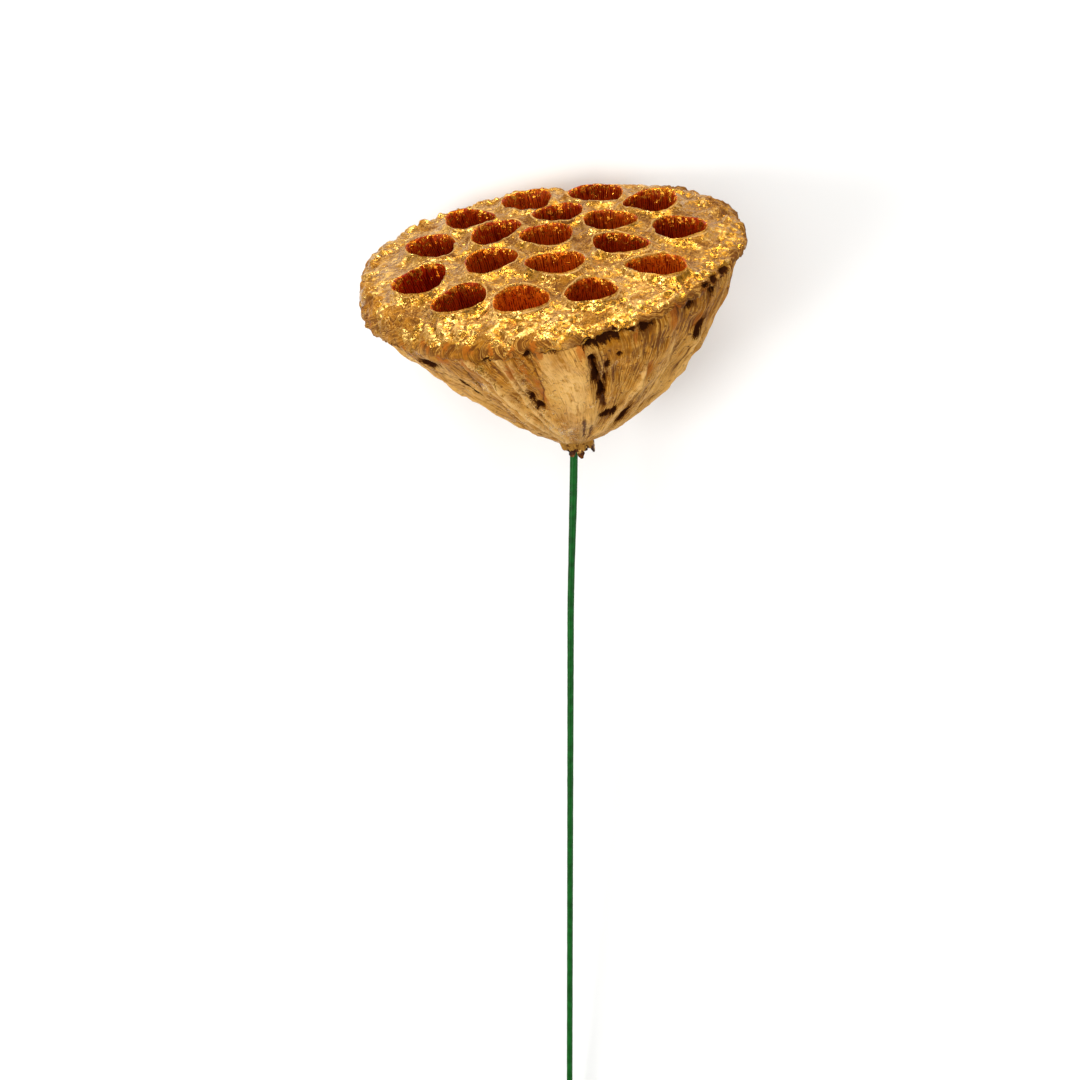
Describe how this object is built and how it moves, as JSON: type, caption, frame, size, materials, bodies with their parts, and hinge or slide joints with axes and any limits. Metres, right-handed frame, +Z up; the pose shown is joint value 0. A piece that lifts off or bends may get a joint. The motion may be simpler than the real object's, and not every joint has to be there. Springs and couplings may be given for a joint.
{
  "type": "dried lotus pod",
  "caption": "Gilded dried lotus pod, a ribbed cone with a flat face of open seed cells, on a thin green coated wire stem; it lies on its rim and on the stem's cut end.",
  "frame": {"origin": "on the surface that the pod lies on, below the middle of the whole object", "axes": "+Z up; +Y along the stem towards the pod's face; +X to the right as seen in the picture"},
  "size_m": [0.0932, 0.272, 0.0854],
  "materials": {
    "gilded_pod": "dry plant fibre with patchy gold leaf, glossy red-brown inside the cells",
    "green_coat": "satin green plastic coat",
    "wire_steel": "bare drawn wire"
  },
  "bodies": {
    "root": {"pod": "gilded_pod", "stem_sleeve": "green_coat", "stem_wire": "wire_steel"}
  },
  "joints": []
}
